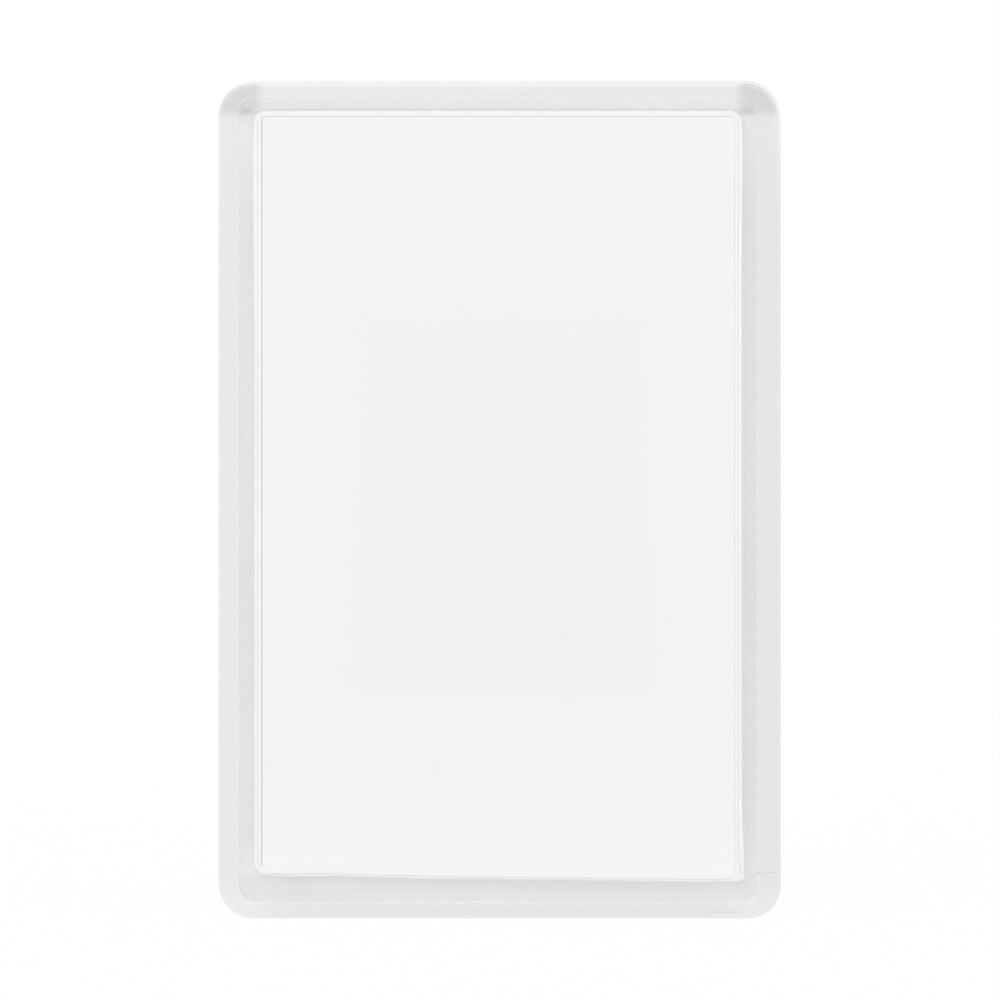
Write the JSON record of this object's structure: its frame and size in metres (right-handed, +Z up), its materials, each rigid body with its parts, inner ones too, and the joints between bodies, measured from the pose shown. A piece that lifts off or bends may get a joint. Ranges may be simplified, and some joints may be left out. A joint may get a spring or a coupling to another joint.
{
  "type": "magnetic photo frame",
  "caption": "Flat upright frame for a small instant picture: clear snap-fit cover, card, and white insert with a flexible magnet behind it.",
  "frame": {"origin": "centre of the magnet's rear face, which holds the frame to a steel door", "axes": "+Y backwards out of the magnet's rear face, +Z up along the card's long side, +X to the right seen from the front"},
  "size_m": [0.064, 0.0066, 0.0954],
  "materials": {
    "clear_plastic": "gloss",
    "white_card": "matte",
    "white_plastic": "satin",
    "flexible_magnet": "matte",
    "adhesive_film": "satin"
  },
  "bodies": {
    "back": {"back_insert": "white_plastic", "magnet_sheet": "flexible_magnet", "magnet_adhesive": "adhesive_film"},
    "cover": {"front_cover": "clear_plastic"},
    "card": {"photo_card": "white_card"}
  },
  "joints": [
    {"name": "cover_pull", "type": "slide", "parent": "back", "child": "cover", "axis": [0, -1, 0], "range_m": [0, 0.024]},
    {"name": "card_lift", "type": "slide", "parent": "back", "child": "card", "axis": [0, -1, 0], "range_m": [0, 0.012]}
  ],
  "couplings": [
    {"joint": "card_lift", "follows": "cover_pull", "ratio": 0.5}
  ]
}
